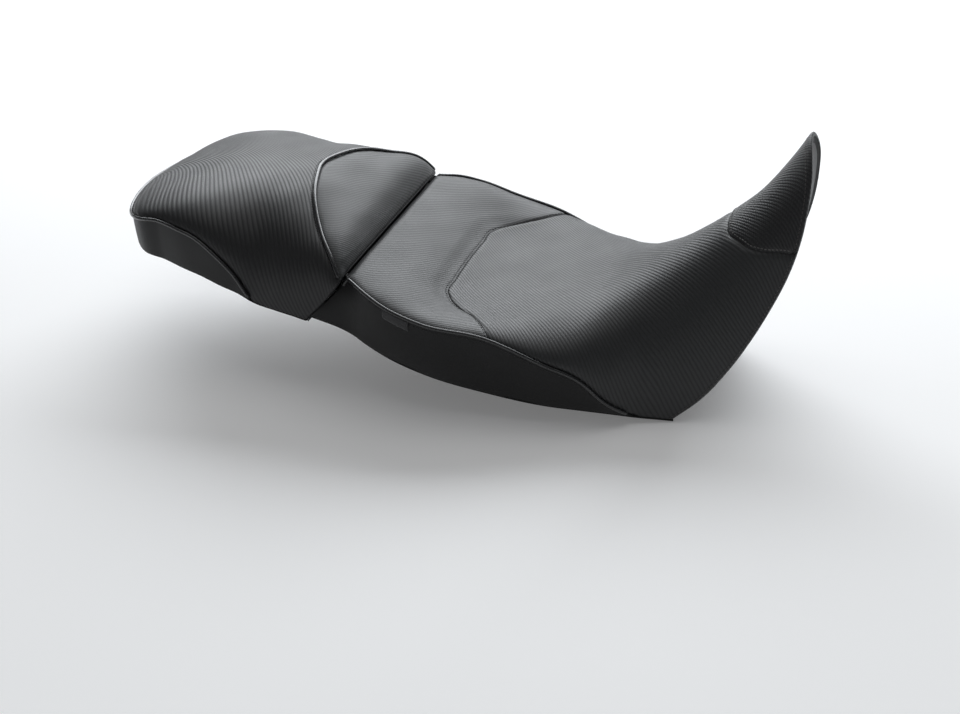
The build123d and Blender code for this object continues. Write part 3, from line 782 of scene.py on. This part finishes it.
def build_rider_top():
    start = np.full(rear_shares.shape, 4.0)
    rear, uv = top_grid(rider, start, dish_x, rear_shares, 70, spread_rows, rider_shape)
    corner_x = solve_x(lambda x: x - joint_x(rider.top(x, rear_shares)[..., 2], RIDER_FACE),
                       np.full(rear_shares.shape, -8.0), np.full(rear_shares.shape, 8.0))
    rear, uv = joint_roll(rider, rear, uv, rear_shares, corner_x, 14.0, front=False)
    panel = sheet("rider_rear_panel_cover", [(rear, uv)], [False])
    dress(panel, "twill_rear", "rider_seat", ("rider_rear_panel",))

    grids = []
    for sign in (-1, 1):
        shares = wing_shares if sign > 0 else -wing_shares[::-1]
        ends = front_wing if sign > 0 else front_wing[::-1]
        start = seam_line(rider, DISH_SEAM, shares, 60.0, 176.0)
        grid, uv = top_grid(rider, start, ends - EDGE_BACK, shares, 170, spread_rows, rider_shape)
        grids.append(front_roll(grid, uv, shares, ends))
    start = seam_line(rider, DISH_SEAM, centre_shares, 60.0, 176.0)
    grids.append(top_grid(rider, start, nose_x, centre_shares, 170, spread_rows, rider_shape))
    panel = sheet("rider_seat_panel_cover", grids, [False] * 3)
    dress(panel, "twill_seat", "rider_seat", ("rider_seat_panel", "rider_foam"))

    grid, uv = top_grid(rider, nose_x, front_centre - EDGE_BACK, centre_shares, 60, spread_rows,
                        rider_shape)
    grid, uv = front_roll(grid, uv, centre_shares, front_centre)
    panel = sheet("rider_nose_panel_cover", [(grid, uv)], [False])
    dress(panel, "twill_nose", "rider_seat", ("rider_nose_panel",))


def build_front_gusset():
    """Plain strip between the rolled front edge and the base pan."""
    corner, normal = with_normals(rider, whole_front, whole_shares)
    inward = inward_on(tank_lean(corner), normal)
    reach = np.linspace(5.5, 15.0, 8)[:, None, None]
    grid = corner[None] + inward[None] * reach
    grid[..., 0] = tank_x(grid[..., 2]) - 1.0 - 1.5 * smooth_step(9, 15, reach[..., 0])
    uv = np.stack([np.broadcast_to(reach[..., 0], grid.shape[:2]),
                   np.broadcast_to(rider.across(whole_front, whole_shares)[None],
                                   grid.shape[:2])], -1)
    piece = sheet("rider_front_gusset_cover", [(grid, uv)], [False])
    dress(piece, "gusset", "rider_seat", ("rider_front_gusset",))


def face_gusset(name, surface, gap, sink_from, low_z, body, node):
    """Plain end face of a cushion inside the joint, from under the rolled edge to the rim."""
    side = 1 if surface is rider else -1
    shares = np.linspace(-1, 1, 61)
    low_x = -8.0 if surface is rider else -64.0
    corner_x = solve_x(lambda x: x - joint_x(surface.top(x, shares)[..., 2], gap),
                       np.full(shares.shape, low_x), np.full(shares.shape, 8.0))
    corner = surface.top(corner_x, shares)
    start_z = np.maximum(corner[..., 2] - sink_from, low_z + 1)
    rows = np.linspace(0, 1, 24)[:, None]
    z = start_z[None, :] + (low_z - start_z)[None, :] * rows
    x = joint_x(z, gap)
    edge_z, rim_z = surface.column(2, x), surface.column(5, x)
    edge_y, rim_y = surface.column(1, x), surface.column(4, x)
    v = np.clip((z - edge_z) / (rim_z - edge_z), 0, 1)
    wall = edge_y + (rim_y - edge_y) * v**2
    share_y = corner[..., 1] / np.abs(corner[..., 1]).max()
    y = share_y[None, :] * wall * 0.995
    grid = np.stack([x + side * 0.6, y, z], -1)
    uv = np.stack([-z, y], -1)
    piece = sheet(name, [(grid, uv)], [surface is rider], 1.4)
    dress(piece, "gusset", body, (node,))


HEM = np.array([(0, 0), (0.3, -1.3), (1.5, -2.2), (4.2, -2.5), (6.9, -2.2), (8.1, -1.2),
                (8.5, 0.5), (8.6, 4.0), (8.6, HEM_UP)])


def hem_grid(rim, flip_inward=1.0):
    """The cover's edge turned in over the pan's rim; rim is a path with the seat on its right."""
    tangent = np.gradient(rim, axis=0)
    inward = np.stack([tangent[:, 1], -tangent[:, 0]], -1)
    inward /= np.linalg.norm(inward, axis=1, keepdims=True)
    inward *= flip_inward
    steps = np.concatenate([inward[None] * HEM[:, :1, None],
                            np.broadcast_to(HEM[:, 1:, None], (len(HEM), len(rim), 1))], -1)
    grid = rim[None] + steps
    run = length_along(rim)
    depth = np.concatenate([[0], np.cumsum(np.hypot(*np.diff(HEM, axis=0).T))])
    uv = np.stack(np.broadcast_arrays(run[None, :], depth[:, None]), -1)
    return grid, uv


def skirt_folds(x, v):
    """Soft pull of the side wall between piping and rim, in mm."""
    return (1.3 * np.sin(math.pi * v) ** 1.5 + 0.25 * np.sin(x / 13) * np.sin(3 * v + x / 40)
            + groove(v * 60, 1.2, 3.0))


def build_rider_skirts():
    for side, word in ((-1, "right"), (1, "left")):
        v = np.linspace(0, 1, 30)
        rear = solve_x(lambda x: x - joint_x(rider.skirt(x, v, side)[..., 2], RIDER_FACE),
                       np.full(v.shape, -66.0), np.full(v.shape, 8.0))
        f = np.linspace(0, 1, 160)[:, None]
        x = rear[None, :] + (SKIRT_END_X + 12 - rear)[None, :] * f
        down = np.broadcast_to(v[None, :], x.shape)
        wall = rider.skirt(x, down, side)
        wall[..., 1] -= side * skirt_folds(x, down)
        uv = np.stack([x, down * 70], -1)
        rim_x = np.concatenate([x[:, -1], np.linspace(SKIRT_END_X + 12, front_wing[-1], 24)[1:]])
        rim = rider.skirt(rim_x, np.ones(rim_x.shape), side)
        hem, hem_uv = hem_grid(rim, flip_inward=side)
        piece = sheet(f"rider_skirt_{word}_cover", [(wall, uv), (hem, hem_uv)],
                      [side < 0, side > 0])
        replaced = (f"rider_skirt_{word}",) + (("rider_cover_hem",) if side < 0 else ())
        dress(piece, "vinyl", "rider_seat", replaced)


def build_rider_trim():
    for side, word in ((-1, "right"), (1, "left")):
        x = np.linspace(0, SKIRT_END_X + 6, 150)
        edge = np.stack([x, side * (rider.column(1, x) + PIPING_R * 0.45),
                         rider.column(2, x) + PIPING_R * 0.25], -1)
        tuck = np.array([(-6.5, side * 144.6, -5), (-3.5, side * 146.0, 0)])
        line = even_line(np.concatenate([tuck, edge]), 2.0)
        piece = tube(f"rider_piping_{word}_cord", line, PIPING_R)
        dress(piece, "piping", "rider_seat", (f"rider_piping_{word}",))


def pillion_front_x(shares):
    """x where the pillion's top meets the joint, for each share across."""
    return solve_x(lambda x: x - joint_x(pillion.top(x, shares)[..., 2], PILLION_FACE),
                   np.full(shares.shape, -64.0), np.full(shares.shape, 9.0))


def from_tail(count):
    """0 to 1 with rows closer together at the tail."""
    return np.linspace(0, 1, count) ** 1.8


PILLION_EDGE_BACK = 3.0   # the roll into the joint starts this far behind it
# the share across at which the crown welt meets the joint
probe = np.linspace(0.3, 0.99, 500)
probe_front = pillion_front_x(probe)
probe_seam = seam_line(pillion, CROWN_SEAM, probe, -110.0, 5.0)
WELT_SHARE = float(probe[np.argmin(np.abs(probe_front - PILLION_EDGE_BACK - probe_seam))])
crown_shares = np.linspace(-WELT_SHARE, WELT_SHARE, 161)
side_shares = np.linspace(WELT_SHARE, 1, 61)
pillion_front_centre = pillion_front_x(crown_shares)
pillion_front_side = pillion_front_x(side_shares)
crown_x = np.minimum(seam_line(pillion, CROWN_SEAM, crown_shares, -110.0, 5.0),
                     pillion_front_centre - PILLION_EDGE_BACK)
crown_line = dense(pillion, crown_x, crown_shares)
TAIL_X = PILLION[0, 0]
tail_run = TAIL_X + (PILLION_SKIRT_END_X - TAIL_X) * from_tail(160)
pillion_edges = np.concatenate([pillion.top(tail_run, side) for side in (-1.0, 1.0)])


def build_pillion_top():
    grids = []
    for sign in (-1, 1):
        shares = side_shares if sign > 0 else -side_shares[::-1]
        ends = pillion_front_side if sign > 0 else pillion_front_side[::-1]
        start = np.full(shares.shape, TAIL_X)
        grid, uv = top_grid(pillion, start, ends - PILLION_EDGE_BACK, shares, 150, from_tail,
                            pillion_shape)
        grids.append(joint_roll(pillion, grid, uv, shares, ends, 8.0, front=True))
    start = np.full(crown_shares.shape, TAIL_X)
    grids.append(top_grid(pillion, start, crown_x, crown_shares, 150, from_tail, pillion_shape))
    # the rear panel's darker twill is painted shade for its face turned away from the light
    panel = sheet("pillion_rear_panel_cover", grids, [False] * 3)
    dress(panel, "twill_pillion_shaded", "pillion_seat",
          ("pillion_rear_panel", "pillion_foam"))

    grid, uv = top_grid(pillion, crown_x, pillion_front_centre - PILLION_EDGE_BACK, crown_shares,
                        60, spread_rows, pillion_shape)
    grid, uv = joint_roll(pillion, grid, uv, crown_shares, pillion_front_centre, 12.0, front=True)
    panel = sheet("pillion_front_panel_cover", [(grid, uv)], [False])
    # this panel's lighter grey against the pillion's darker rear panel is painted light: it faces
    # up
    dress(panel, "twill_rear", "pillion_seat", ("pillion_front_panel",))


def build_pillion_skirt():
    v = np.linspace(0, 1, 26)
    x = np.broadcast_to(tail_run[:, None], (len(tail_run), len(v)))
    grids, flips = [], []
    for side in (-1, 1):
        down = np.broadcast_to(v[None, :], x.shape)
        wall = pillion.skirt(x, down, side)
        wall[..., 1] -= side * 0.6 * np.sin(math.pi * down)
        grids.append((wall, np.stack([x, down * 40], -1)))
        flips.append(side < 0)
    tip_y = np.linspace(-1, 1, 13)[:, None]
    edge, rim = (pillion.skirt(np.array([TAIL_X]), np.array([k]), 1)[0] for k in (0.0, 1.0))
    cap_v = v[None, :]
    half = edge[1] + (rim[1] - edge[1]) * cap_v**2
    cap = np.stack(np.broadcast_arrays(TAIL_X - 1.1 * (1 - tip_y**2), tip_y * half,
                                       edge[2] + (rim[2] - edge[2]) * cap_v), -1)
    grids.append((cap, np.stack(np.broadcast_arrays(tip_y * half, cap_v * 40), -1)))
    flips.append(False)
    rim_end = float(joint_x(np.array(-46.0), CUSHION_GAP))
    side_x = np.concatenate([tail_run, np.linspace(PILLION_SKIRT_END_X, rim_end, 30)[1:]])
    left = pillion.skirt(side_x, np.ones(side_x.shape), 1)
    right = left[::-1] * np.array((1, -1, 1))
    tip = cap[1:-1, -1]
    hem, hem_uv = hem_grid(np.concatenate([right, tip, left]))
    grids.append((hem, hem_uv))
    flips.append(True)
    piece = sheet("pillion_skirt_cover", grids, flips)
    dress(piece, "vinyl", "pillion_seat", ("pillion_skirt", "pillion_cover_hem"))


def build_pillion_trim():
    welt = pillion.top(crown_x, crown_shares)
    from_face = joint_x(welt[:, 2], PILLION_FACE) - welt[:, 0]
    fall = edge_fall(from_face, *PILLION_FALL) * smooth_step(156, 138, np.abs(welt[:, 1]))
    welt[:, 2] += PIPING_R * 0.4 - fall
    line = even_line(welt, 2.0)
    piece = tube("pillion_crown_welt_cord", line, PIPING_R)
    dress(piece, "piping", "pillion_seat", ("pillion_crown_welt",))

    edge = pillion.top(tail_run, 1.0)
    tangent = np.gradient(edge[:, :2], axis=0)
    outward = np.stack([-tangent[:, 1], tangent[:, 0]], -1)
    outward /= np.linalg.norm(outward, axis=1, keepdims=True)
    left = edge + np.concatenate([outward, np.full((len(edge), 1), 0.3)], 1) * PIPING_R * 0.5
    right = left[::-1] * np.array((1, -1, 1))
    tip = np.array([(TAIL_X - 2.0, 0, left[0, 2])])
    piece = tube("pillion_edge_piping_cord", even_line(np.concatenate([right, tip, left]), 2.0),
                 PIPING_R)
    dress(piece, "piping", "pillion_seat", ("pillion_edge_piping",))


def surface_line(surface, x, shares, shape, step=1.5):
    """Points and normals of a line on a shaped panel."""
    line, normal = with_normals(surface, x, shares)
    line = line - normal * shape(line)[:, None]
    even = even_line(line, step)
    run = length_along(line)
    wanted = np.linspace(0, run[-1], len(even))
    normals = np.stack([np.interp(wanted, run, normal[:, k]) for k in range(3)], 1)
    return even, normals


def sew(name, line, normals, material, body, **sizes):
    piece = stitches(name, line, normals, **sizes)
    dress(piece, material, body)


def build_stitching():
    inner = np.abs(rear_shares) < 0.985
    line = surface_line(rider, dish_x[inner] - 2.6, rear_shares[inner], rider_shape)
    sew("dish_seam_stitches", *line, "thread", "rider_seat")
    middle = slice(2, -2)
    line = surface_line(rider, np.minimum(nose_x + 3.2, front_centre - 3)[middle],
                        centre_shares[middle], rider_shape)
    sew("nose_seam_stitches", *line, "grey_thread", "rider_seat", length=2.8, radius=0.48)
    line = surface_line(rider, whole_front - 5.0, whole_shares, rider_shape)
    sew("front_edge_stitches", *line, "edge_thread", "rider_seat", length=2.8, radius=0.34)
    line = surface_line(pillion, crown_x - 4.2, crown_shares, pillion_shape)
    sew("crown_seam_stitches", *line, "thread", "pillion_seat", length=2.8, radius=0.34)
    for side, word in ((-1, "right"), (1, "left")):
        x = np.linspace(2, 276, 200)
        height = rider.column(2, x) - rider.column(5, x)
        v = SKIRT_STITCH_DROP / height
        wall = rider.skirt(x, v, side)
        wall[:, 1] -= side * (skirt_folds(x, v) - 0.1)
        normals = np.broadcast_to(np.array((0.0, side * 0.98, 0.2)), wall.shape)
        sew(f"skirt_stitches_{word}", wall, normals, "thread", "rider_seat", length=3.4,
            radius=0.22)


def build_label():
    """Folded woven tag sewn in under the right piping, blank."""
    low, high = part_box("side_label")
    x = np.linspace(low.x * 1000, high.x * 1000, 29) - SHIFT[0]
    drop = np.linspace(0, LABEL_DROP, 12)
    edge_y = rider.column(1, x)[:, None] + 0.6
    edge_z = rider.column(2, x)[:, None] - 2.4
    curl = (0.5 * np.sin(drop / LABEL_DROP * math.pi)[None, :]
            + 0.25 * np.sin(x / 5)[:, None] * (drop / LABEL_DROP))
    grid = np.stack(np.broadcast_arrays(x[:, None], -(edge_y - drop * 0.1 + curl),
                                        edge_z - drop), -1)
    uv = np.stack(np.broadcast_arrays(x[:, None], drop[None, :]), -1)
    piece = sheet("side_label_tag", [(grid, uv)], [True], 0.9)
    dress(piece, "label", "rider_seat", ("side_label",))


build_rider_top()
build_front_gusset()
face_gusset("rider_rear_gusset_cover", rider, RIDER_FACE, 9.0, -60.0, "rider_seat",
            "rider_rear_gusset")
build_rider_skirts()
build_rider_trim()
build_pillion_top()
face_gusset("pillion_front_gusset_cover", pillion, PILLION_FACE, 6.0, -46.0, "pillion_seat",
            "pillion_front_gusset")
build_pillion_skirt()
build_pillion_trim()
build_stitching()
build_label()

# ---- carried-over CAD nodes -----------------------------------------------------------------
CAD_LOOKS = {"base_pan": "plastic", "bumpers": "rubber", "tongue": "steel", "rivets": "steel",
             "striker": "steel", "nuts": "steel", "staples": "steel"}
for name, node in frame["nodes"].items():
    for word, look in CAD_LOOKS.items():
        if word in name:
            node.data.materials.clear()
            node.data.materials.append(MATERIALS[look])

# ---- stage ----------------------------------------------------------------------------------
# The camera in the seat's own coordinates, mm: to the right and ahead of the middle, looking
# across the seat, slightly back, and down.
CAMERA_AT = np.array((536.3, -1422.7, 677.2))
CAMERA_TURN, CAMERA_LIFT = math.radians(17.2), math.radians(29.0)
LENS = 56.25


def area_light(name, at, target, size, power, tint=(1, 1, 1), size_y=None):
    lamp = bpy.data.lights.new(name, "AREA")
    lamp.energy = power
    lamp.color = tint
    lamp.size = size
    if size_y:
        lamp.shape = "RECTANGLE"
        lamp.size_y = size_y
    thing = bpy.data.objects.new(name, lamp)
    thing.location = at
    thing.rotation_euler = (Vector(target) - Vector(at)).to_track_quat("-Z", "Y").to_euler()
    bpy.context.scene.collection.objects.link(thing)


def build_stage():
    floor_z = min(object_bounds()[0].z, 0.0) - 0.0005
    floor = make_mesh("studio_floor", np.array([(-9e3, -9e3, 0), (9e3, -9e3, 0), (9e3, 9e3, 0),
                                                (-9e3, 9e3, 0)]) - SHIFT + (0, 0, floor_z * 1000),
                      [(0, 1, 2, 3)])
    n = Nodes("studio_floor")
    floor.data.materials.append(n.finish((0.88, 0.88, 0.88, 1), 0.7,
                                         Emission_Color=(1, 1, 1, 1), Emission_Strength=0.15))

    world = bpy.data.worlds.new("studio")
    world.use_nodes = True
    world.node_tree.nodes["Background"].inputs["Color"].default_value = (0.9, 0.93, 0.96, 1)
    world.node_tree.nodes["Background"].inputs["Strength"].default_value = 0.11
    bpy.context.scene.world = world
    area_light("back_sky", (-0.5, 3.0, 2.1), (0, 0, 0.1), 5.0, 190, (0.94, 0.97, 1.0), 2.4)
    area_light("top_soft", (0.1, 0.2, 2.6), (0, 0, 0.1), 2.4, 15)

    back = np.array((math.sin(CAMERA_TURN) * math.cos(CAMERA_LIFT),
                     -math.cos(CAMERA_TURN) * math.cos(CAMERA_LIFT), math.sin(CAMERA_LIFT)))
    right = np.array((math.cos(CAMERA_TURN), math.sin(CAMERA_TURN), 0.0))
    up = np.cross(back, right)
    camera = bpy.data.objects.new("camera", bpy.data.cameras.new("camera"))
    camera.data.lens = LENS
    camera.data.sensor_width = 36
    camera.data.clip_end = 50
    place = (CAMERA_AT + SHIFT) / 1000
    camera.matrix_world = Matrix([(right[k], up[k], back[k], place[k]) for k in range(3)]
                                 + [(0, 0, 0, 1)])
    bpy.context.scene.collection.objects.link(camera)
    bpy.context.scene.camera = camera
    bpy.context.scene.view_settings.view_transform = "Standard"


build_stage()
